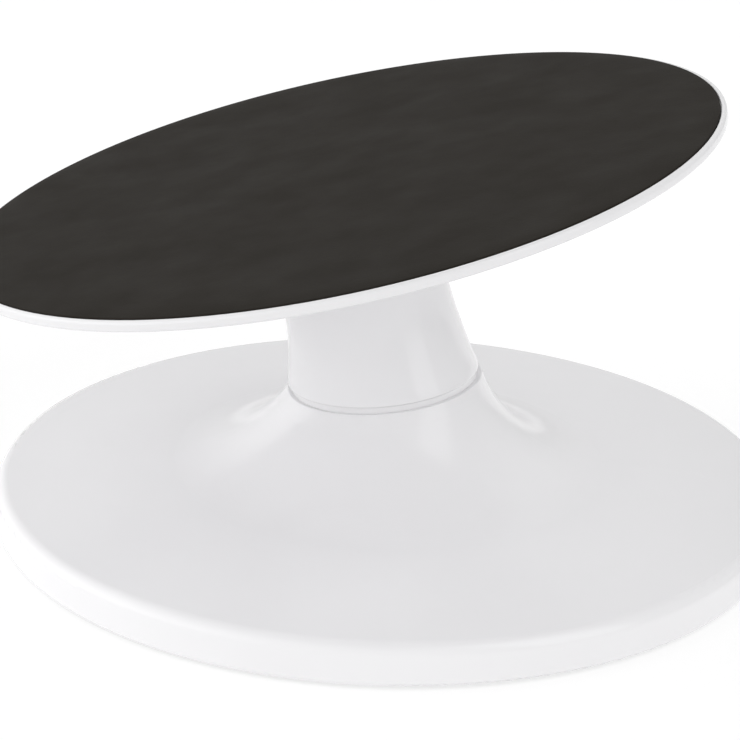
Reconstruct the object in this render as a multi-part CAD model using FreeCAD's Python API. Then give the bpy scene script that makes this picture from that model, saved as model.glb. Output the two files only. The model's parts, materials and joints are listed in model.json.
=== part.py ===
"""Tilting turntable: a round plate with a rubber mat spins on a neck, and the neck turns on a slanted seat.

The base is a wide dish that rises to a flare. The flare's top is cut by a plane that slopes by seat_angle.
The neck's foot is cut to the same slope, so turning the neck half a turn on the seat takes the plate from
its full tilt, twice seat_angle, to level. The model stands at full tilt, with the plate's low side at -X.

Three frames are used. The base frame has its origin on the floor at the base's axis, +Z up. The seat frame
and the plate frame both start at the joint point, where the neck's two axes meet. The seat frame's +Z is
the axis the neck turns on, and the plate frame's +Z is the axis the plate spins on. All sizes are millimetres.
"""

import FreeCAD, Part
import math
import os

Vector = FreeCAD.Vector
ORIGIN = Vector(0, 0, 0)
UP = Vector(0, 0, 1)

# Driving dimensions: the tilt and where the two axes meet.
seat_angle = 6.65
joint_point = Vector(-2.55, 0, 58.3)

# Base dish, flare and what closes it underneath.
base_radius = 159.2
base_lift = 1.5
base_wall = 3.0
side_draft = 0.6
rim_corner_height = 17.6
rim_round = 5.0
foot_round = 2.6
dish_slope = math.tan(math.radians(4.5))
flare_slope = math.tan(math.radians(66.0))
flare_radius_at_joint = 38.4
flare_round = 58.0
base_rib_count, base_rib_width = 12, 2.0
base_rib_from, base_rib_to = 20.0, 154.0
column_radius, column_bore = 22.0, 20.0
cover_bottom, cover_top, cover_radius = 2.0, 5.0, 154.0
cover_screw_count, cover_screw_start, cover_screw_circle = 6, 15.0, 126.0
cover_screw_radius, cover_screw_hole, cover_screw_length = 1.5, 1.6, 9.0
cover_screw_head, cover_screw_head_height, cover_screw_sink = 3.4, 1.3, 1.4
screw_boss_radius = 4.5
cover_ring_radii, cover_ring_width, cover_ring_height = (60.0, 100.0), 2.0, 0.4
foot_inner, foot_outer, foot_edge = 138.0, 148.0, 0.6
foot_depth_in_cover = 1.6
foot_groove_radii, foot_groove_depth = (140.5, 143.0, 145.5), 0.45
access_radius, plug_flange_radius = 20.0, 23.5
plug_bottom, plug_top, plug_wall, plug_split_width = 1.0, 7.0, 2.0, 3.0

# Seat: heights along the neck's turning axis, from the joint point. The groove is the shallow channel that
# shows round the joint: it is cut in the flare, just under the neck's lower edge.
neck_bottom = 1.55
seat_rim_top = 1.25
groove_bottom = -1.2
groove_radius = 37.6
lip_round = 0.45
neck_foot_bottom = 0.5
seat_recess_radius = 34.5
seat_top, seat_bottom = -3.0, -7.0
detent_plate_top = -1.5
slip_washer_top = -0.55
neck_pad_bottom = -0.5
neck_floor_top = 5.5
pivot_radius, pivot_bush_radius = 4.0, 6.5
slip_washer_radius = 21.5
friction_washer_radius, friction_washer_thickness = 11.0, 1.0
detent_circle, detent_hole_count, detent_hole_radius = 29.2, 4, 2.2
detent_plate_radius = 33.6
seat_rivet_count, seat_rivet_start, seat_rivet_circle = 3, 60.0, 14.0
seat_rivet_radius, seat_rivet_head = 1.2, 2.4
stop_circle, stop_travel = 24.8, 180.0
stop_pin_radius, stop_pin_top, stop_slot_play = 1.2, 2.6, 0.3

# Neck: height along the plate's axis and outer radius of each ring of its skin.
neck_rings = [
    (neck_bottom, 38.6), (3.5, 38.4), (6.5, 37.7), (10.5, 36.7), (15.5, 35.7), (20.5, 34.8), (26.0, 34.0),
    (32.0, 33.5), (40.0, 33.2), (50.0, 33.4), (60.0, 34.3), (70.0, 36.2), (78.5, 38.6),
]
neck_wall = 2.8
neck_straight_from = 32.0
ledge_bottom, ledge_top, ledge_bore = 60.0, 64.0, 26.0
neck_pad_radius = 23.0
spigot_outer, spigot_inner, spigot_bottom = 33.9, 32.0, -1.1

# Detent spring under the neck's foot.
detent_spring_outer, detent_spring_inner, detent_bump_radius = 31.4, 27.0, 1.9
spring_rivet_radius, spring_rivet_head, spring_rivet_top = 1.0, 1.9, 3.4

# Pivot bolt and what it clamps: heights along the neck's turning axis.
across_flats = 13.0
bolt_washer_radius, bolt_washer_top, bolt_head_top = 8.5, 7.1, 12.4
bolt_bottom, bolt_chamfer = -36.8, 0.8
spring_seat_radius, spring_seat_bore, spring_seat_skirt = 11.0, 4.2, 1.4
pivot_spring_top, pivot_spring_bottom = -10.6, -24.6
pivot_spring_wire, pivot_spring_coil, pivot_spring_turns = 0.95, 7.6, 4.5
nut_washer_radius, nut_top, nut_bottom, nut_collar_bottom = 10.0, -26.2, -32.0, -34.2

# Bearing and spindle: heights along the plate's axis.
deck_top = 68.0
deck_radius = 31.6
deck_boss_bottom, deck_boss_radius = 34.0, 11.0
deck_web_count, deck_web_reach, deck_web_width, deck_web_height = 4, 23.0, 2.0, 12.0
deck_screw_count, deck_screw_start, deck_screw_circle = 4, 45.0, 28.6
deck_screw_radius, deck_screw_hole, deck_screw_length = 1.4, 1.6, 7.6
deck_screw_head, deck_screw_head_height = 2.7, 1.6
ball_height, ball_radius, ball_circle, ball_count = 71.0, 2.5, 20.0, 14
race_inner, race_outer, race_thickness, race_edge = 15.5, 24.5, 2.5, 0.3
race_gap_half = 1.5
cage_width_half, cage_thickness_half, cage_pocket_play = 3.6, 0.8, 0.12
running_gap = 0.05
spindle_radius, spindle_bottom = 5.0, 36.0
spindle_collar_radius, spindle_collar_top = 8.5, 70.0
spindle_thread_radius, spindle_thread_bottom = 2.5, 71.5
bush_radius, bush_flange_radius, bush_flange_thickness = 8.0, 11.0, 1.0
retaining_washer_radius, retaining_washer_thickness = 10.0, 0.9
retaining_screw_head, retaining_screw_head_height, retaining_screw_length = 4.4, 1.7, 10.5

# Plate and mat: heights along the plate's axis.
mat_top, mat_thickness, mat_radius = 88.6, 2.0, 150.0
mat_edge, mat_gap = 0.6, 0.3
plate_radius, rim_wall = 152.4, 3.2
rim_top, rim_bottom, web_bottom = 87.6, 83.5, 84.0
rim_inner_edge, rim_top_round, rim_bottom_round = 0.4, 1.5, 1.1
hub_bottom, hub_radius = 74.0, 27.0
hub_pocket_radius, hub_pocket_floor = 13.0, 82.2
plate_rib_count, plate_rib_width = 12, 2.0
plate_rib_low, plate_rib_start, plate_rib_end = 79.7, 44.0, 140.0
plate_hoops, plate_hoop_width = ((70.0, 2.4), (110.0, 1.4)), 2.0

# Derived heights and small allowances.
race_low = ball_height - race_gap_half - race_thickness
spindle_top = hub_pocket_floor + bush_flange_thickness + 0.1
PLAY = 0.02  # keeps two faces of different pieces from sharing volume
PAST = 1.0  # how far a cutting tool runs past what it cuts
FAR = 200.0  # longer than any part


# ---- small helpers ----------------------------------------------------------------------------------------

def in_seat(shape):
    """From the seat frame to the base frame."""
    turned = shape.copy()
    turned.rotate(ORIGIN, Vector(0, 1, 0), -seat_angle)
    turned.translate(joint_point)
    return turned


def in_plate(shape):
    """From the plate frame to the base frame."""
    turned = shape.copy()
    turned.rotate(ORIGIN, Vector(0, 1, 0), -2 * seat_angle)
    turned.translate(joint_point)
    return turned


def tube(outer, low, high, bore=0.0):
    """A cylinder along +Z between two heights, with an optional bore."""
    solid = Part.makeCylinder(outer, high - low, Vector(0, 0, low))
    if bore:
        solid = solid.cut(Part.makeCylinder(bore, high - low + 2, Vector(0, 0, low - 1)))
    return solid


def at_angle(shape, degrees, radius=0.0):
    """A copy moved out along +X by radius and then turned about +Z."""
    moved = shape.copy()
    moved.translate(Vector(radius, 0, 0))
    moved.rotate(ORIGIN, UP, degrees)
    return moved


def around(shape, count, radius=0.0, start=0.0):
    """Copies of a shape spaced evenly on a circle."""
    return [at_angle(shape, start + 360.0 * i / count, radius) for i in range(count)]


def outline(corners):
    """A closed wire in the XZ plane through (x, z, rounding radius) corners."""
    edges = []
    ends = []
    count = len(corners)
    for i, (x, z, rounding) in enumerate(corners):
        here = Vector(x, 0, z)
        back = Vector(corners[i - 1][0], 0, corners[i - 1][1]) - here
        ahead = Vector(corners[(i + 1) % count][0], 0, corners[(i + 1) % count][1]) - here
        back.normalize()
        ahead.normalize()
        if not rounding:
            ends.append((here, here))
            continue
        half = back.getAngle(ahead) / 2
        reach = rounding / math.tan(half)
        middle = back + ahead
        middle.normalize()
        start, end = here + back * reach, here + ahead * reach
        crown = here + middle * (rounding / math.sin(half) - rounding)
        edges.append((i, Part.Arc(start, crown, end).toShape()))
        ends.append((start, end))
    arcs = dict(edges)
    path = []
    for i in range(count):
        if i in arcs:
            path.append(arcs[i])
        leave, arrive = ends[i][1], ends[(i + 1) % count][0]
        if leave.distanceToPoint(arrive) > 1e-6:
            path.append(Part.makeLine(leave, arrive))
    return Part.Wire(path)


def turned(corners):
    """The solid of revolution about +Z of an outline."""
    return Part.Face(outline(corners)).revolve(ORIGIN, UP, 360)


def hexagon(across_flats, low, high, bore=0.0):
    corner = across_flats / math.sqrt(3)
    points = [Vector(corner * math.cos(math.radians(a)), corner * math.sin(math.radians(a)), low)
              for a in range(0, 361, 60)]
    prism = Part.Face(Part.makePolygon(points)).extrude(Vector(0, 0, high - low))
    return prism.cut(tube(bore, low - 1, high + 1)) if bore else prism


def pan_head_screw(shank, head, head_height, length):
    """A screw pointing down, the underside of its head at z = 0, with a cross recess in the head."""
    body = turned([(0, 0, 0), (head, 0, 0), (head, head_height, head_height * 0.6), (0, head_height, 0)])
    slot = Part.makeBox(head * 1.1, head * 0.24, head_height, Vector(-head * 0.55, -head * 0.12, head_height * 0.5))
    other = slot.copy()
    other.rotate(ORIGIN, UP, 90)
    tip = Part.makeCone(shank * 0.35, shank, shank, Vector(0, 0, -length))
    return body.cut(slot.fuse(other)).fuse(tube(shank, shank - length, 0)).fuse(tip).removeSplitter()


def round_edges(shape, radius, wanted):
    """The shape with those edges rounded for which wanted(edge) is true."""
    edges = [e for e in shape.Edges if wanted(e)]
    return shape.makeFillet(radius, edges) if edges else shape


def one(pieces):
    """All the pieces joined into one solid."""
    whole = pieces[0]
    if len(pieces) > 1:
        whole = whole.multiFuse(pieces[1:])
    return whole.removeSplitter()


def is_lip(edge):
    """True for the edges beside the groove: round the joint, and wider than the groove's own floor."""
    box = edge.BoundBox
    near_joint = abs(box.Center.z - joint_point.z) < 8 or abs(box.Center.z) < 8
    return near_joint and 2 * groove_radius + 1 < box.YLength < 2 * groove_radius + 12


# ---- base -------------------------------------------------------------------------------------------------

def flare_line(radius):
    """Height of the flare's straight upper stretch at a radius."""
    return joint_point.z - flare_slope * (radius - flare_radius_at_joint)


def dish_line(radius):
    """Height of the dish's gentle cone at a radius."""
    return rim_corner_height + dish_slope * (base_radius - side_draft - radius)


def base_corners():
    """The base's outer outline, from above the seat out to the floor: (radius, height, rounding)."""
    top_radius = 32.0
    rise = flare_line(0) - dish_line(0)
    foot = rise / (flare_slope - dish_slope)
    rim = base_radius - side_draft
    return [
        (top_radius, flare_line(top_radius), 0),
        (foot, dish_line(foot), flare_round),
        (rim, dish_line(rim), rim_round),
        (base_radius, base_lift, 0),
    ]


def inset_corners(corners, wall):
    """The outline moved inwards by a wall, as intersections of its moved lines. The last corner stays level."""
    moved = []
    for (r0, z0, _), (r1, z1, _) in zip(corners, corners[1:]):
        length = math.hypot(r1 - r0, z1 - z0)
        inward = ((z1 - z0) / length, -(r1 - r0) / length)
        moved.append(((r0 + wall * inward[0], z0 + wall * inward[1]), (r1 - r0, z1 - z0)))
    found = [(moved[0][0][0], moved[0][0][1], 0)]
    for k in range(1, len(moved)):
        (ax, az), (adx, adz) = moved[k - 1]
        (bx, bz), (bdx, bdz) = moved[k]
        share = ((bx - ax) * bdz - (bz - az) * bdx) / (adx * bdz - adz * bdx)
        rounding = corners[k][2] + (wall if k == 1 else -wall)
        found.append((ax + share * adx, az + share * adz, rounding))
    (lx, lz), (dx, dz) = moved[-1]
    floor_share = (corners[-1][1] - lz) / dz
    found.append((lx + floor_share * dx, corners[-1][1], 0))
    return found


def base_block(corners):
    """The solid under an outline."""
    first, last = corners[0], corners[-1]
    return turned(corners + [(0, last[1], 0), (0, first[1], 0)])


def seat_slab(low, high):
    """A slab across the base, square to the neck's turning axis."""
    return in_seat(Part.makeBox(FAR, FAR, high - low, Vector(-FAR / 2, -FAR / 2, low)))


def seat_holes():
    """Cutters through the seat for the pivot bush, the stop pin and the rivets."""
    low, high = seat_bottom - PAST, seat_top + PAST
    cutters = [
        tube(pivot_bush_radius + PLAY, low, high),
        at_angle(tube(stop_pin_radius + PLAY, low, high), 0, stop_circle),
    ]
    rivet_hole = tube(seat_rivet_radius + PLAY, low, high)
    return [in_seat(c) for c in cutters + around(rivet_hole, seat_rivet_count, seat_rivet_circle, seat_rivet_start)]


def at_cover_screws(shape):
    return around(shape, cover_screw_count, cover_screw_circle, cover_screw_start)


def base_shell():
    """Dish and flare in one moulding, with its slanted seat, ribs and screw bosses underneath."""
    outer = base_block(base_corners())
    outer = round_edges(outer, foot_round, lambda e: abs(e.BoundBox.ZMax - base_lift) < 0.01 and e.Closed)
    inner = base_block(inset_corners(base_corners(), base_wall))
    skin = outer.cut(inner)
    seat = outer.common(seat_slab(seat_bottom, seat_rim_top))
    room = inner.common(tube(cover_radius, cover_top + 3, FAR)).cut(seat_slab(seat_bottom, FAR))
    rib = Part.makeBox(base_rib_to - base_rib_from, base_rib_width, FAR,
                       Vector(base_rib_from, -base_rib_width / 2, cover_top))
    ribs = [r.common(room) for r in around(rib, base_rib_count)]
    column = tube(column_radius, cover_top, FAR, column_bore).common(room)
    bosses = [post.common(inner) for post in at_cover_screws(tube(screw_boss_radius, cover_top, FAR))]
    shell = one([skin, seat, column] + ribs + bosses)
    shell = shell.cut(seat_slab(seat_rim_top, FAR))
    shell = shell.cut(in_seat(tube(seat_recess_radius, seat_top, seat_rim_top + PAST)))
    shell = shell.cut(in_seat(tube(FAR / 2, groove_bottom, seat_rim_top + PAST, groove_radius)))
    shell = round_edges(shell, lip_round, is_lip)
    screw_hole = tube(cover_screw_radius + PLAY, cover_top - PAST, cover_top + cover_screw_length)
    for hole in at_cover_screws(screw_hole) + seat_holes():
        shell = shell.cut(hole)
    return shell


def bottom_cover():
    """Flat disc under the base, with a channel for the foot and sunk screw holes."""
    cover = tube(cover_radius, cover_bottom, cover_top, access_radius)
    cover = cover.cut(tube(foot_outer, cover_bottom - PAST, cover_bottom + foot_depth_in_cover, foot_inner))
    for hole in at_cover_screws(tube(cover_screw_hole, 0, cover_top + PAST)):
        cover = cover.cut(hole)
    for pocket in at_cover_screws(tube(cover_screw_head + 0.4, 0, cover_bottom + cover_screw_sink)):
        cover = cover.cut(pocket)
    for radius in cover_ring_radii:
        reach = cover_ring_width / 2
        cover = cover.fuse(tube(radius + reach, cover_bottom - cover_ring_height, cover_bottom + 0.5, radius - reach))
    return cover.removeSplitter()


def cover_screws():
    screw = pan_head_screw(cover_screw_radius, cover_screw_head, cover_screw_head_height, cover_screw_length)
    screw.rotate(ORIGIN, Vector(1, 0, 0), 180)
    screw.translate(Vector(0, 0, cover_bottom + cover_screw_sink))
    return Part.makeCompound(at_cover_screws(screw))


def foot_ring():
    """Rubber ring the base stands on, set into a channel in the bottom cover."""
    top = cover_bottom + foot_depth_in_cover
    ring = turned([
        (foot_inner, 0, foot_edge), (foot_outer, 0, foot_edge), (foot_outer, top, 0), (foot_inner, top, 0),
    ])
    for radius in foot_groove_radii:
        ring = ring.cut(Part.makeTorus(radius, foot_groove_depth))
    return ring


def access_plug():
    """Push-in cap over the hole that the pivot nut is reached through, with a spigot split by a cross."""
    flange = turned([
        (0, plug_bottom, 0), (plug_flange_radius, plug_bottom, 0.6), (plug_flange_radius, cover_bottom, 0),
        (0, cover_bottom, 0),
    ])
    spigot = tube(access_radius - 0.1, cover_bottom, plug_top, access_radius - plug_wall)
    split = Part.makeBox(FAR, plug_split_width, plug_top, Vector(-FAR / 2, -plug_split_width / 2, cover_bottom + 1.5))
    cross = at_angle(split, 90)
    return one([flange, spigot.cut(split).cut(cross)])


# ---- seat hardware ----------------------------------------------------------------------------------------

def detent_plate():
    """Steel disc on the seat, with four holes that the detent spring's bumps drop into."""
    disc = tube(detent_plate_radius, seat_top, detent_plate_top, pivot_bush_radius + 0.1)
    low = seat_top - PAST
    holes = around(tube(detent_hole_radius, low, 0), detent_hole_count, detent_circle)
    holes += around(tube(seat_rivet_radius + PLAY, low, 0), seat_rivet_count, seat_rivet_circle, seat_rivet_start)
    holes.append(at_angle(tube(stop_pin_radius + PLAY, low, 0), 0, stop_circle))
    for hole in holes:
        disc = disc.cut(hole)
    return in_seat(disc)


def seat_rivets():
    """Three flush rivets that hold the detent plate to the seat."""
    rivet = one([
        tube(seat_rivet_radius, seat_bottom, detent_plate_top), tube(seat_rivet_head, seat_bottom - 1.0, seat_bottom),
    ])
    return in_seat(Part.makeCompound(around(rivet, seat_rivet_count, seat_rivet_circle, seat_rivet_start)))


def stop_pin():
    """Steel pin in the seat that ends the neck's travel at the two ends of a slot."""
    return in_seat(at_angle(tube(stop_pin_radius, seat_bottom, stop_pin_top), 0, stop_circle))


def pivot_bush():
    return in_seat(tube(pivot_bush_radius, seat_bottom, detent_plate_top, pivot_radius + running_gap))


def slip_washer():
    return in_seat(tube(slip_washer_radius, detent_plate_top, slip_washer_top, pivot_radius + 3.0))


def friction_washer():
    """Washer under the seat's rivet heads that the cup washer turns on."""
    top = seat_bottom - 1.0 - PLAY
    low = top - friction_washer_thickness + PLAY
    return in_seat(tube(friction_washer_radius, low, top, pivot_radius + 0.2))


# ---- neck -------------------------------------------------------------------------------------------------

def neck_ring(height, radius):
    """A circle of the neck's skin. Its plane turns from the seat's slope to square with the plate's axis."""
    share = min(1.0, max(0.0, (height - 3.5) / (neck_straight_from - 3.5)))
    share = share * share * (3 - 2 * share)
    ring = Part.Wire(Part.Circle(ORIGIN, UP, radius).toShape())
    ring.rotate(ORIGIN, Vector(0, 1, 0), seat_angle * (1 - share))
    ring.translate(Vector(0, 0, height))
    return ring


def neck_block(inset):
    """The neck's skin as a solid in the plate frame, moved inwards by inset."""
    return Part.makeLoft([neck_ring(h, r - inset) for h, r in neck_rings], True, False)


def seat_in_plate(shape):
    """From the seat frame to the plate frame."""
    moved = shape.copy()
    moved.rotate(ORIGIN, Vector(0, 1, 0), seat_angle)
    return moved


def stop_slot():
    """The blind arc slot in the neck's foot, in the seat frame."""
    half_width = stop_pin_radius + stop_slot_play
    spare = math.degrees(0.1 / stop_circle)
    low, high = -2.0, 3.0
    arc = Part.makeCylinder(stop_circle + half_width, high - low, Vector(0, 0, low), UP, stop_travel + 2 * spare)
    arc = arc.cut(tube(stop_circle - half_width, low - PAST, high + PAST))
    arc.rotate(ORIGIN, UP, -stop_travel - spare)
    ends = [at_angle(tube(half_width, low, high), a, stop_circle) for a in (0, -stop_travel)]
    return arc.multiFuse(ends)


def at_deck_screws(shape):
    return around(shape, deck_screw_count, deck_screw_circle, deck_screw_start)


def neck_shell():
    """Hollow moulding with a thick slanted floor, a pad on the slip washer, a spigot and a ledge near its top."""
    block = round_edges(neck_block(0), lip_round, is_lip)
    hollow = neck_block(neck_wall).cut(seat_in_plate(tube(FAR / 2, -FAR, neck_floor_top)))
    last_height, last_radius = neck_rings[-1]
    hollow = hollow.fuse(tube(last_radius - neck_wall, last_height - 1.5, last_height + 1.5))
    ledge = neck_block(0.5).common(tube(FAR / 2, ledge_bottom, ledge_top, ledge_bore))
    foot = seat_in_plate(tube(spigot_outer, neck_foot_bottom, 2.0))
    pad = seat_in_plate(tube(neck_pad_radius, neck_pad_bottom, 2.0))
    spigot = seat_in_plate(tube(spigot_outer, spigot_bottom, 2.0, spigot_inner))
    shell = one([block.cut(hollow), ledge, foot, pad, spigot])
    shell = shell.cut(seat_in_plate(tube(pivot_radius + 0.1, -FAR / 2, neck_floor_top + PAST)))
    shell = shell.cut(seat_in_plate(stop_slot()))
    for hole in at_deck_screws(tube(deck_screw_radius + PLAY, ledge_bottom - PAST, ledge_top + PAST)):
        shell = shell.cut(hole)
    for hole in around(tube(spring_rivet_radius + PLAY, -2.0, spring_rivet_top + 0.1), 2, detent_circle):
        shell = shell.cut(seat_in_plate(hole))
    return in_plate(shell)


def detent_spring():
    """Spring steel ring under the neck's foot, with two round bumps."""
    ring = tube(detent_spring_outer, 0.0, neck_foot_bottom - PLAY, detent_spring_inner)
    for bump in around(Part.makeSphere(detent_bump_radius), 2, detent_circle, 90):
        ring = ring.fuse(bump.common(tube(FAR / 2, -3, 0.2)))
    for hole in around(tube(spring_rivet_radius + PLAY, -2, 3), 2, detent_circle):
        ring = ring.cut(hole)
    return in_seat(ring.removeSplitter())


def detent_rivets():
    """Two rivets that hold the detent spring up to the neck's floor."""
    rivet = one([tube(spring_rivet_radius, -0.4, spring_rivet_top), tube(spring_rivet_head, -0.6, 0.0)])
    return in_seat(Part.makeCompound(around(rivet, 2, detent_circle)))


def pivot_bolt():
    """Hexagon bolt whose head bears on the neck's floor and whose shank runs down through the seat."""
    head = hexagon(across_flats, bolt_washer_top, bolt_head_top)
    crown_low = bolt_head_top - 2.2
    crown = Part.makeCone(8.6, 6.4, 2.2, Vector(0, 0, crown_low)).fuse(tube(8.6, bolt_washer_top - 0.1, crown_low))
    shank = tube(pivot_radius, bolt_bottom + bolt_chamfer, bolt_washer_top)
    point = Part.makeCone(pivot_radius - bolt_chamfer, pivot_radius, bolt_chamfer, Vector(0, 0, bolt_bottom))
    return in_seat(one([head.common(crown), shank, point]))


def bolt_washer():
    return in_seat(tube(bolt_washer_radius, neck_floor_top, bolt_washer_top, pivot_radius + 0.1))


def spring_seat():
    """Cup washer that the pivot spring presses on."""
    low, high = pivot_spring_top, seat_bottom - 1.0 - friction_washer_thickness - 2 * PLAY
    skirt_low, skirt_inner = low - spring_seat_skirt, spring_seat_radius - 1.2
    return in_seat(turned([
        (spring_seat_bore, high, 0), (spring_seat_radius, high, 0), (spring_seat_radius, skirt_low, 0),
        (skirt_inner, skirt_low, 0), (skirt_inner, low, 0), (spring_seat_bore, low, 0),
    ]))


def pivot_spring():
    """Coil spring that keeps the neck pressed onto its seat."""
    span = pivot_spring_top - pivot_spring_bottom - 2 * pivot_spring_wire
    helix = Part.makeHelix(span / pivot_spring_turns, span, pivot_spring_coil)
    section = Part.Circle(Vector(pivot_spring_coil, 0, 0), Vector(0, 1, 0), pivot_spring_wire)
    coil = Part.Wire(helix.Edges).makePipeShell([Part.Wire(section.toShape())], True, True)
    coil.translate(Vector(0, 0, pivot_spring_bottom + pivot_spring_wire))
    return in_seat(coil)


def nut_washer():
    return in_seat(tube(nut_washer_radius, nut_top, pivot_spring_bottom, pivot_radius + 0.1))


def pivot_nut():
    """Locking nut with a round collar."""
    body = hexagon(across_flats, nut_bottom, nut_top)
    chamfer = Part.makeCone(6.6, 7.6, 1.2, Vector(0, 0, nut_bottom)).fuse(tube(7.6, nut_bottom + 1.2, nut_top))
    collar = turned([
        (4.2, nut_collar_bottom, 0), (6.0, nut_collar_bottom, 1.0), (6.0, nut_bottom, 0), (4.2, nut_bottom, 0),
    ])
    return in_seat(one([body.common(chamfer), collar]).cut(tube(pivot_radius + PLAY, -FAR, 0)))


# ---- bearing ----------------------------------------------------------------------------------------------

def ball_track():
    """The space swept by the balls, with running room."""
    return Part.makeTorus(ball_circle, ball_radius + running_gap, Vector(0, 0, ball_height))


def race(low):
    """Square ring with the ball track cut into the face that meets the balls."""
    high = low + race_thickness
    ring = turned([
        (race_inner, low, race_edge), (race_outer, low, race_edge),
        (race_outer, high, race_edge), (race_inner, high, race_edge),
    ])
    return in_plate(ring.cut(ball_track()))


def lower_race():
    return race(race_low)


def upper_race():
    return race(ball_height + race_gap_half)


def ball_cage():
    low, high = ball_height - cage_thickness_half, ball_height + cage_thickness_half
    cage = tube(ball_circle + cage_width_half, low, high, ball_circle - cage_width_half)
    for pocket in around(tube(ball_radius + cage_pocket_play, low - PAST, high + PAST), ball_count, ball_circle):
        cage = cage.cut(pocket)
    return in_plate(cage)


def bearing_balls():
    ball = Part.makeSphere(ball_radius, Vector(0, 0, ball_height))
    return in_plate(Part.makeCompound(around(ball, ball_count, ball_circle)))


def bearing_deck():
    """Round insert on the neck's ledge: it carries the lower race on top and the spindle in its long boss."""
    web = Part.makeBox(deck_web_reach - 9.0, deck_web_width, deck_web_height,
                       Vector(9.0, -deck_web_width / 2, ledge_top - deck_web_height))
    deck = one([
        tube(deck_radius, ledge_top, deck_top),
        tube(deck_boss_radius, deck_boss_bottom, ledge_top),
    ] + around(web, deck_web_count))
    deck = deck.cut(tube(race_outer + PLAY, race_low, deck_top + PAST, race_inner - PLAY))
    deck = deck.cut(tube(spindle_radius + PLAY, deck_boss_bottom - PAST, deck_top + PAST))
    for hole in at_deck_screws(tube(deck_screw_hole, ledge_top - PAST, deck_top + PAST)):
        deck = deck.cut(hole)
    return in_plate(deck.removeSplitter())


def deck_screws():
    screw = pan_head_screw(deck_screw_radius, deck_screw_head, deck_screw_head_height, deck_screw_length)
    screw.translate(Vector(0, 0, deck_top))
    return in_plate(Part.makeCompound(at_deck_screws(screw)))


def spindle():
    """Steel spindle with a collar that sits on the deck and a threaded hole in its top."""
    collar = turned([
        (0, deck_top, 0), (spindle_collar_radius, deck_top, 0),
        (spindle_collar_radius, spindle_collar_top, 0.4), (0, spindle_collar_top, 0),
    ])
    pin = one([tube(spindle_radius, spindle_bottom, spindle_top), collar])
    return in_plate(pin.cut(tube(spindle_thread_radius, spindle_thread_bottom, spindle_top + PAST)))


def hub_bush():
    """Flanged plain bush in the plate's hub, running on the spindle."""
    body = one([
        tube(bush_radius, hub_bottom, hub_pocket_floor + 0.5),
        tube(bush_flange_radius, hub_pocket_floor, hub_pocket_floor + bush_flange_thickness),
    ])
    return in_plate(body.cut(tube(spindle_radius + running_gap, hub_bottom - PAST, spindle_top + PAST)))


def retaining_washer():
    high = spindle_top + retaining_washer_thickness
    return in_plate(tube(retaining_washer_radius, spindle_top, high, spindle_thread_radius + 0.1))


def retaining_screw():
    screw = pan_head_screw(spindle_thread_radius - PLAY, retaining_screw_head, retaining_screw_head_height,
                           retaining_screw_length)
    screw.translate(Vector(0, 0, spindle_top + retaining_washer_thickness))
    return in_plate(screw)


# ---- plate ------------------------------------------------------------------------------------------------

def plate_rib():
    """One rib under the plate: full height from the hub, then falling away to nothing at its outer end."""
    side = Part.makePolygon([
        Vector(plate_rib_end, 0, web_bottom + 0.5), Vector(plate_rib_end, 0, web_bottom - 0.5),
        Vector(plate_rib_start, 0, plate_rib_low), Vector(hub_radius - 1, 0, plate_rib_low),
        Vector(hub_radius - 1, 0, web_bottom + 0.5), Vector(plate_rib_end, 0, web_bottom + 0.5),
    ])
    rib = Part.Face(side).extrude(Vector(0, plate_rib_width, 0))
    rib.translate(Vector(0, -plate_rib_width / 2, 0))
    return rib


def plate_hoop(radius, depth):
    reach = plate_hoop_width / 2
    return tube(radius + reach, web_bottom - depth, web_bottom + 0.5, radius - reach)


def turntable_plate():
    """Round plate with a raised rim, a hub on the bearing and ribs underneath."""
    recess_floor = mat_top - mat_thickness
    lip_inner = mat_radius + mat_gap
    rim_inner = plate_radius - rim_wall
    disc = turned([
        (0, recess_floor, 0), (lip_inner, recess_floor, 0), (lip_inner, rim_top, rim_inner_edge),
        (plate_radius, rim_top, rim_top_round), (plate_radius, rim_bottom, rim_bottom_round),
        (rim_inner, rim_bottom, rim_inner_edge), (rim_inner, web_bottom, 0), (0, web_bottom, 0),
    ])
    hub = tube(hub_radius, hub_bottom, web_bottom + 0.5)
    hoops = [plate_hoop(radius, depth) for radius, depth in plate_hoops]
    plate = one([disc, hub] + hoops + around(plate_rib(), plate_rib_count))
    race_top = ball_height + race_gap_half + race_thickness
    plate = plate.cut(tube(race_outer + PLAY, hub_bottom - PAST, race_top, race_inner - PLAY))
    plate = plate.cut(tube(bush_radius + PLAY, hub_bottom - PAST, hub_pocket_floor + PAST))
    plate = plate.cut(tube(hub_pocket_radius, hub_pocket_floor, mat_top))
    return in_plate(plate)


def non_slip_mat():
    bottom = mat_top - mat_thickness
    return in_plate(turned([
        (0, bottom, 0), (mat_radius, bottom, 0), (mat_radius, mat_top, mat_edge), (0, mat_top, 0),
    ]))


NODES = [
    base_shell, bottom_cover, cover_screws, foot_ring, access_plug,
    detent_plate, seat_rivets, stop_pin, pivot_bush, slip_washer, friction_washer,
    neck_shell, detent_spring, detent_rivets, pivot_bolt, bolt_washer, spring_seat, pivot_spring,
    nut_washer, pivot_nut, bearing_deck, deck_screws, spindle, lower_race, retaining_washer, retaining_screw,
    ball_cage, bearing_balls,
    turntable_plate, upper_race, hub_bush, non_slip_mat,
]


def main():
    os.makedirs("parts", exist_ok=True)
    for make in NODES:
        shape = make()
        shape.exportStep(f"parts/{make.__name__}.step")
        solids = shape.Solids
        volume = sum(s.Volume for s in solids)
        print(f"{make.__name__}: {len(solids)} solid(s), valid {shape.isValid()}, {volume / 1000:.2f} cm3")


main()
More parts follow.
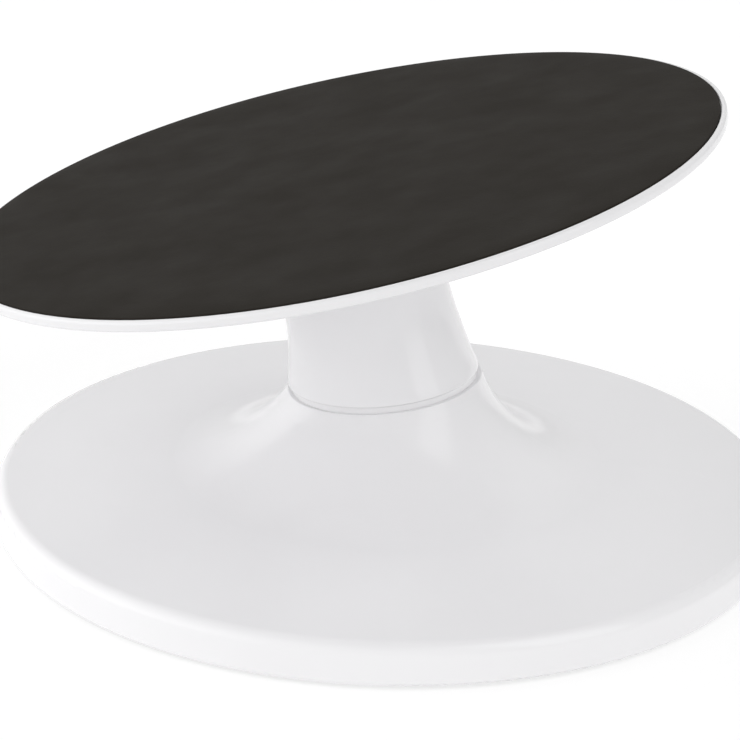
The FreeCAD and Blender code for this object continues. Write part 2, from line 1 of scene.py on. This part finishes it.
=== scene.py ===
"""Looks of the tilting turntable: white moulded plastic, a dark rubber mat, and the hardware inside.

Lengths are metres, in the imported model's own frame. The plate's own frame has its origin at the joint point
and +Z along the axis that the plate spins on.
"""

import json
import math

import bpy
import numpy as np
from mathutils import Matrix, Vector

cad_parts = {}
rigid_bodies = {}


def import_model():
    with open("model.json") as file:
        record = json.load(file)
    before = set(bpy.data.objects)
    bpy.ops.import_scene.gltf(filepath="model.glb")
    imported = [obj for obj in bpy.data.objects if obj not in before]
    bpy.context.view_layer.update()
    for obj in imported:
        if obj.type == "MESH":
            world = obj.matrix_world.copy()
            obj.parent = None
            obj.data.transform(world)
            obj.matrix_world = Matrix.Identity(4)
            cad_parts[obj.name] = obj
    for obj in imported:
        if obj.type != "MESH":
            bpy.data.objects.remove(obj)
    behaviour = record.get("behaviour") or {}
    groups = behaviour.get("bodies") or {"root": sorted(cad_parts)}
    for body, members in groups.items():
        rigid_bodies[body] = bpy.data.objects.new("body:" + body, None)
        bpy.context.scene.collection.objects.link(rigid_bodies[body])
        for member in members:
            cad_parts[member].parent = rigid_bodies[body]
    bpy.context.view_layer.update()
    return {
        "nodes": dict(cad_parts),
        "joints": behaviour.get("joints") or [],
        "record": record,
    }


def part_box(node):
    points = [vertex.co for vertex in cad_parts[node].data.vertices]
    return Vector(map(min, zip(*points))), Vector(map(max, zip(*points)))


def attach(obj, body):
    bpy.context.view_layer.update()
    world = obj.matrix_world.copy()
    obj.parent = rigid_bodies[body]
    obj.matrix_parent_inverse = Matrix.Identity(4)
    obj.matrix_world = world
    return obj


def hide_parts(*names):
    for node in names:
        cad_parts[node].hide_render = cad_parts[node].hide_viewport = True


for item in list(bpy.data.objects):
    bpy.data.objects.remove(item, do_unlink=True)

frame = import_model()

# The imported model's plain materials give up their names, which the ones made here take.
for imported in list(bpy.data.materials):
    imported.name = "cad_" + imported.name

MM = 0.001
ROUND = 288  # columns round a turned piece
CHORD = 0.12 * MM  # longest straight step along a rounded corner
POLE = 1e-7  # a radius below this is on the axis
SHARP = math.radians(35)  # faces that meet at more than this show an edge

# ---- where things are, from the frame ---------------------------------------------------------------------

joints = {joint["name"]: joint for joint in frame["joints"]}
mounts = {mount["name"]: mount for mount in frame["record"]["mounts"]}
pivot_point = Vector(joints["tilt_swivel"]["pos_m"])
plate_axis = Vector(joints["plate_spin"]["axis"]).normalized()
work_point = Vector(mounts["work_face"]["pos_m"])
mat_top = (work_point - pivot_point).dot(plate_axis)
mat_low, mat_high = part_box("non_slip_mat")
mat_radius = (mat_high.y - mat_low.y) / 2
foot_low, foot_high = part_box("foot_ring")
foot_outer = (foot_high.x - foot_low.x) / 2


def frame_along(axis, origin):
    """The matrix of a frame with +Z along an axis in the tilt plane and +Y kept."""
    side = Vector((0, 1, 0))
    forward = side.cross(axis).normalized()
    turn = Matrix((forward, side, axis)).transposed()
    return Matrix.Translation(origin) @ turn.to_4x4()


in_plate = frame_along(plate_axis, pivot_point)


# ---- mesh helpers -----------------------------------------------------------------------------------------

def rounded(corners):
    """Points along an outline of (radius, height, rounding) corners, with its round corners as true arcs."""
    points = []
    last = len(corners) - 1
    for i, (r, z, rounding) in enumerate(corners):
        here = np.array((r, z), float)
        if not rounding or i in (0, last):
            points.append(here)
            continue
        back = np.array(corners[i - 1][:2]) - here
        ahead = np.array(corners[i + 1][:2]) - here
        back /= np.linalg.norm(back)
        ahead /= np.linalg.norm(ahead)
        half = math.acos(np.clip(back @ ahead, -1, 1)) / 2
        middle = (back + ahead) / np.linalg.norm(back + ahead)
        centre = here + middle * rounding / math.sin(half)
        first = here + back * rounding / math.tan(half) - centre
        final = here + ahead * rounding / math.tan(half) - centre
        sweep = math.pi - 2 * half
        steps = max(4, math.ceil(sweep * rounding / CHORD))
        for k in range(steps + 1):
            share = k / steps
            spoke = first * math.sin((1 - share) * sweep) + final * math.sin(share * sweep)
            points.append(centre + spoke / math.sin(sweep))
    return points


def lathe(name, points, place, closed=False):
    """A mesh object turned about +Z from (radius, height) points. A radius of 0 becomes one pole point."""
    vertices, faces, rings = [], [], []
    for r, z in points:
        if r < POLE:
            rings.append([len(vertices)] * ROUND)
            vertices.append((0, 0, z))
            continue
        rings.append([len(vertices) + k for k in range(ROUND)])
        for k in range(ROUND):
            angle = 2 * math.pi * k / ROUND
            vertices.append((r * math.cos(angle), r * math.sin(angle), z))
    pairs = list(zip(rings, rings[1:]))
    if closed:
        pairs.append((rings[-1], rings[0]))
    for lower, upper in pairs:
        for k in range(ROUND):
            n = (k + 1) % ROUND
            corners = [lower[k], lower[n], upper[n], upper[k]]
            face = list(dict.fromkeys(corners))
            if len(face) > 2:
                faces.append(face)
    return new_object(name, vertices, faces, place)


def new_object(name, vertices, faces, place):
    """A smooth mesh object in the scene, with its points moved by the matrix place."""
    mesh = bpy.data.meshes.new(name)
    mesh.from_pydata(vertices, [], faces)
    mesh.transform(place)
    mesh.validate()
    mesh.shade_smooth()
    mesh.set_sharp_from_angle(angle=SHARP)
    made = bpy.data.objects.new(name, mesh)
    bpy.context.scene.collection.objects.link(made)
    return made


# ---- materials --------------------------------------------------------------------------------------------

class Nodes:
    """A short way to build a node tree: add() returns a node, and inputs may be values or sockets."""

    def __init__(self, name):
        self.material = bpy.data.materials.new(name)
        self.material.use_nodes = True
        self.tree = self.material.node_tree
        self.shader = self.tree.nodes["Principled BSDF"]
        self.place = self.add("ShaderNodeTexCoord").outputs["Object"]

    def add(self, kind, settings=(), **inputs):
        node = self.tree.nodes.new(kind)
        for key, value in dict(settings).items():
            setattr(node, key, value)
        for key, value in inputs.items():
            self.put(node, key, value)
        return node

    def put(self, node, key, value):
        socket = node.inputs[key]
        if isinstance(value, bpy.types.NodeSocket):
            self.tree.links.new(value, socket)
        else:
            socket.default_value = value

    def set(self, **inputs):
        for key, value in inputs.items():
            self.put(self.shader, key.replace("_", " "), value)

    def noise(self, scale, detail=2.0, roughness=0.5):
        return self.add("ShaderNodeTexNoise", Vector=self.place, Scale=scale, Detail=detail,
                        Roughness=roughness).outputs["Fac"]

    def ramp(self, factor, low, high, start=0.3, end=0.7):
        """A colour or grey that goes from low to high as factor goes from start to end."""
        node = self.add("ShaderNodeValToRGB", Fac=factor)
        for element, position, value in zip(node.color_ramp.elements, (start, end), (low, high)):
            element.position = position
            element.color = (*value, 1) if isinstance(value, tuple) else (value, value, value, 1)
        return node.outputs["Color"]

    def bump(self, height, strength, distance, under=None):
        node = self.add("ShaderNodeBump", Height=height, Strength=strength, Distance=distance)
        if under:
            self.tree.links.new(under, node.inputs["Normal"])
        return node.outputs["Normal"]


def gloss_plastic(name, light, dark, shine=(0.14, 0.19)):
    """White injection moulding: faint sink waves, finer orange peel, and a slightly uneven shine."""
    n = Nodes(name)
    waves = n.bump(n.noise(22, 2), 0.05, 0.0012)
    peel = n.bump(n.noise(900, 2), 0.05, 0.00015, waves)
    n.set(Base_Color=n.ramp(n.noise(14, 4), dark, light), Roughness=n.ramp(n.noise(45, 5, 0.6), *shine),
          Normal=peel, IOR=1.5)
    return n.material


def matt_plastic(name, light, dark, grain=1400):
    """Spark-eroded texture of a hidden moulding."""
    n = Nodes(name)
    grit = n.bump(n.noise(grain, 3, 0.6), 0.35, 0.00025)
    n.set(Base_Color=n.ramp(n.noise(30, 5), dark, light), Roughness=n.ramp(n.noise(60, 4), 0.48, 0.62),
          Normal=grit, IOR=1.5)
    return n.material


def rubber(name, light, dark, grain, depth):
    """Matt rubber with a fine pebble grain and cloudy tone."""
    n = Nodes(name)
    cells = n.add("ShaderNodeTexVoronoi", {"feature": "SMOOTH_F1"}, Vector=n.place, Scale=grain,
                  Smoothness=0.7).outputs["Distance"]
    fine = n.bump(n.noise(grain * 3, 3), 0.25, depth * 0.4)
    pebbles = n.bump(cells, 0.5, depth, fine)
    n.set(Base_Color=n.ramp(n.noise(16, 5, 0.55), dark, light), Roughness=n.ramp(n.noise(40, 4), 0.72, 0.86),
          Normal=pebbles, Specular_IOR_Level=0.1)
    return n.material


def metal(name, light, dark, rough, grain=700):
    """Bare or plated metal with a finely tumbled surface and slight staining."""
    n = Nodes(name)
    marks = n.noise(grain, 4, 0.6)
    n.set(Base_Color=n.ramp(n.noise(120, 5), dark, light), Metallic=1.0,
          Roughness=n.ramp(marks, rough * 0.75, rough * 1.3), Normal=n.bump(marks, 0.12, 0.0001))
    return n.material


white_light, white_dark = (0.825, 0.820, 0.831), (0.810, 0.805, 0.817)
materials = {
    "white_gloss": gloss_plastic("white_gloss", white_light, white_dark),
    "cover_plastic": matt_plastic("cover_plastic", (0.74, 0.745, 0.755), (0.69, 0.695, 0.705)),
    "mat_rubber": rubber("mat_rubber", (0.0206, 0.0178, 0.0144), (0.0192, 0.0165, 0.0134), 1500, 0.00012),
    "foot_rubber": rubber("foot_rubber", (0.040, 0.040, 0.041), (0.024, 0.024, 0.025), 1100, 0.0002),
    "plated_steel": metal("plated_steel", (0.66, 0.66, 0.63), (0.50, 0.51, 0.50), 0.3),
    "spring_steel": metal("spring_steel", (0.42, 0.41, 0.40), (0.27, 0.27, 0.28), 0.35),
    "bearing_steel": metal("bearing_steel", (0.72, 0.72, 0.72), (0.60, 0.60, 0.61), 0.12),
    "bronze": metal("bronze", (0.66, 0.45, 0.24), (0.47, 0.31, 0.16), 0.36),
    "acetal": matt_plastic("acetal", (0.85, 0.84, 0.79), (0.78, 0.77, 0.71)),
    "dark_nylon": matt_plastic("dark_nylon", (0.050, 0.050, 0.054), (0.030, 0.030, 0.033)),
}


def dress(piece, slot):
    """Gives a made piece the material of the given slot."""
    piece.data.materials.clear()
    piece.data.materials.append(materials[slot])


# The plate gets a copy of the white gloss a shade darker than the base and the neck: painted shade for the
# dimmer light on its rim.
plate_shaded_white = gloss_plastic("white_gloss_plate_shaded", (0.765, 0.761, 0.771), (0.750, 0.746, 0.757))

for subpart in frame["record"]["subparts"]:
    cad_object = frame["nodes"][subpart["node"]]
    is_plate = subpart["node"] == "turntable_plate"
    for material_slot in cad_object.material_slots:
        # The plate's slots take the darker copy of the white: painted shade.
        material_slot.material = plate_shaded_white if is_plate else materials[subpart["material_slot"]]


# ---- rubber mat -------------------------------------------------------------------------------------------

mat_thickness = 2.0 * MM
mat_edge_roll = 9.0 * MM
mat_edge_drop = 0.5 * MM
mat_edge_round = 0.35 * MM
mat_bevel = 0.2 * MM
mat_flat_rings, mat_roll_rings, mat_round_rings, mat_bottom_rings = 24, 15, 6, 12


def make_mat():
    """Rubber disc whose top rolls gently down over its last few millimetres."""
    flat_to = mat_radius - mat_edge_roll
    points = [(flat_to * k / mat_flat_rings, mat_top) for k in range(mat_flat_rings + 1)]
    for k in range(1, mat_roll_rings):
        share = k / mat_roll_rings
        points.append((flat_to + mat_edge_roll * share, mat_top - mat_edge_drop * share ** 2))
    shoulder = mat_top - mat_edge_drop - mat_edge_round
    for k in range(mat_round_rings + 1):
        angle = math.pi / 2 * k / mat_round_rings
        points.append((mat_radius - mat_edge_round * (1 - math.sin(angle)),
                       shoulder + mat_edge_round * math.cos(angle)))
    bottom = mat_top - mat_thickness
    points += [(mat_radius, bottom + mat_bevel), (mat_radius - mat_bevel, bottom)]
    points += [(mat_radius * k / mat_bottom_rings, bottom) for k in range(mat_bottom_rings - 1, -1, -1)]
    mat = lathe("rubber_mat", points[::-1], in_plate)
    dress(mat, "mat_rubber")
    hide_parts("non_slip_mat")
    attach(mat, "plate")


# ---- rubber foot ------------------------------------------------------------------------------------------

foot_inner = 138.0 * MM
foot_edge_round = 0.6 * MM
foot_groove_middles = (140.5 * MM, 143.0 * MM, 145.5 * MM)
foot_groove_radius = 0.45 * MM
foot_groove_steps = 8


def make_foot():
    """Ring with three shallow half-round grooves in its sole."""
    low, high = foot_low.z, foot_high.z
    sole = []
    for middle in foot_groove_middles:
        for k in range(foot_groove_steps + 1):
            angle = math.pi * k / foot_groove_steps
            across = foot_groove_radius * math.cos(angle)
            depth = foot_groove_radius * math.sin(angle)
            sole.append((middle - across, low + depth, 0))
    inner_corners = [(foot_inner, high, 0), (foot_inner, low, foot_edge_round)]
    outer_corners = [(foot_outer, low, foot_edge_round), (foot_outer, high, 0)]
    outline = rounded(inner_corners + sole + outer_corners)
    ring = lathe("rubber_foot", outline, Matrix.Identity(4), closed=True)
    dress(ring, "foot_rubber")
    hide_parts("foot_ring")
    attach(ring, "base")


make_mat()
make_foot()


# ---- floor, light and camera ------------------------------------------------------------------------------

def make_floor():
    """Pale floor a hair below the foot, which glows a little so that it stays white round the object."""
    reach, level = 6.0, -0.05 * MM
    corners = [(x, y, level) for x, y in ((-reach, -reach), (reach, -reach), (reach, reach), (-reach, reach))]
    floor = new_object("floor", corners, [(0, 1, 2, 3)], Matrix.Identity(4))
    n = Nodes("floor_white")
    n.set(Base_Color=(0.35, 0.35, 0.35, 1), Roughness=0.9)
    n.set(Emission_Color=(1, 1, 1, 1), Emission_Strength=0.67)
    floor.data.materials.append(n.material)


middle_height = 70.0 * MM  # what the panels face, about the neck's foot


def softbox(name, azimuths, elevations, brightness, distance=1.6):
    """A panel that fills a window of the view from the object, in degrees. Azimuth 0 is towards the camera.

    A rectangle light's power is its radiance times pi times its area.
    """
    azimuth = math.radians(sum(azimuths) / 2)
    elevation = math.radians(sum(elevations) / 2)
    toward = Vector((math.sin(azimuth) * math.cos(elevation), -math.cos(azimuth) * math.cos(elevation),
                     math.sin(elevation)))
    width = 2 * distance * math.tan(math.radians(azimuths[1] - azimuths[0]) / 2)
    height = 2 * distance * math.tan(math.radians(elevations[1] - elevations[0]) / 2)
    light = bpy.data.lights.new(name, "AREA")
    light.shape = "RECTANGLE"
    light.size, light.size_y = width, height
    light.energy = brightness * math.pi * width * height
    lamp = bpy.data.objects.new(name, light)
    lamp.location = Vector((0, 0, middle_height)) + toward * distance
    lamp.rotation_euler = toward.to_track_quat("Z", "Y").to_euler()
    bpy.context.scene.collection.objects.link(lamp)


def make_room():
    """White studio walls that fade smoothly into each other.

    Each wall has the brightness of a part that is strongest low down and of one that is strongest halfway up.
    """
    # Axis, side, and the brightness of the low part and of the high part.
    walls = [("X", 1, 0.20, 1.40), ("X", -1, 2.25, 0.0), ("Y", 1, 0.66, 0.90), ("Y", -1, 0.72, 0.50)]
    world = bpy.data.worlds.new("studio")
    world.use_nodes = True
    tree = world.node_tree

    def calculate(operation, first, second):
        node = tree.nodes.new("ShaderNodeMath")
        node.operation = operation
        for socket, value in zip(node.inputs, (first, second)):
            if isinstance(value, bpy.types.NodeSocket):
                tree.links.new(value, socket)
            else:
                socket.default_value = value
        return node.outputs[0]

    place = tree.nodes.new("ShaderNodeTexCoord")
    direction = tree.nodes.new("ShaderNodeSeparateXYZ")
    tree.links.new(place.outputs["Generated"], direction.inputs[0])
    up = calculate("MAXIMUM", direction.outputs["Z"], 0.0)
    total = 0.0
    for axis, side, low_brightness, high_brightness in walls:
        toward = calculate("MAXIMUM", calculate("MULTIPLY", direction.outputs[axis], side), 0.0)
        low = calculate("MULTIPLY", calculate("MULTIPLY", toward, toward), low_brightness)
        high = calculate("MULTIPLY", calculate("MULTIPLY", toward, up), high_brightness)
        total = calculate("ADD", total, calculate("ADD", low, high))
    tree.links.new(total, tree.nodes["Background"].inputs["Strength"])
    tree.nodes["Background"].inputs["Color"].default_value = (1, 1, 1, 1)
    bpy.context.scene.world = world


def make_lights():
    """The room's own walls, and two panels that stand out from them."""
    make_room()
    softbox("panel_left", azimuths=(-100, -34), elevations=(2, 62), brightness=0.25)
    softbox("panel_right", azimuths=(38, 69), elevations=(2, 66), brightness=1.05)


def make_camera():
    """The camera looks along +Y and down, slightly rolled, from a metre away."""
    distance = 1.0
    down = math.radians(20.94)
    roll = math.radians(1.62)
    target = Vector((-8.2, 0, 60.57)) * MM
    forward = Vector((0, math.cos(down), -math.sin(down)))
    level = Vector((1, 0, 0))
    above = level.cross(forward)
    right = level * math.cos(roll) + above * math.sin(roll)
    up = above * math.cos(roll) - level * math.sin(roll)
    data = bpy.data.cameras.new("camera")
    data.sensor_width = 36.0
    data.lens = 120.5
    camera = bpy.data.objects.new("camera", data)
    turn = Matrix((right, up, -forward)).transposed()
    camera.matrix_world = Matrix.Translation(target - forward * distance) @ turn.to_4x4()
    bpy.context.scene.collection.objects.link(camera)
    bpy.context.scene.camera = camera


make_floor()
make_lights()
make_camera()
bpy.context.scene.view_settings.view_transform = "Standard"
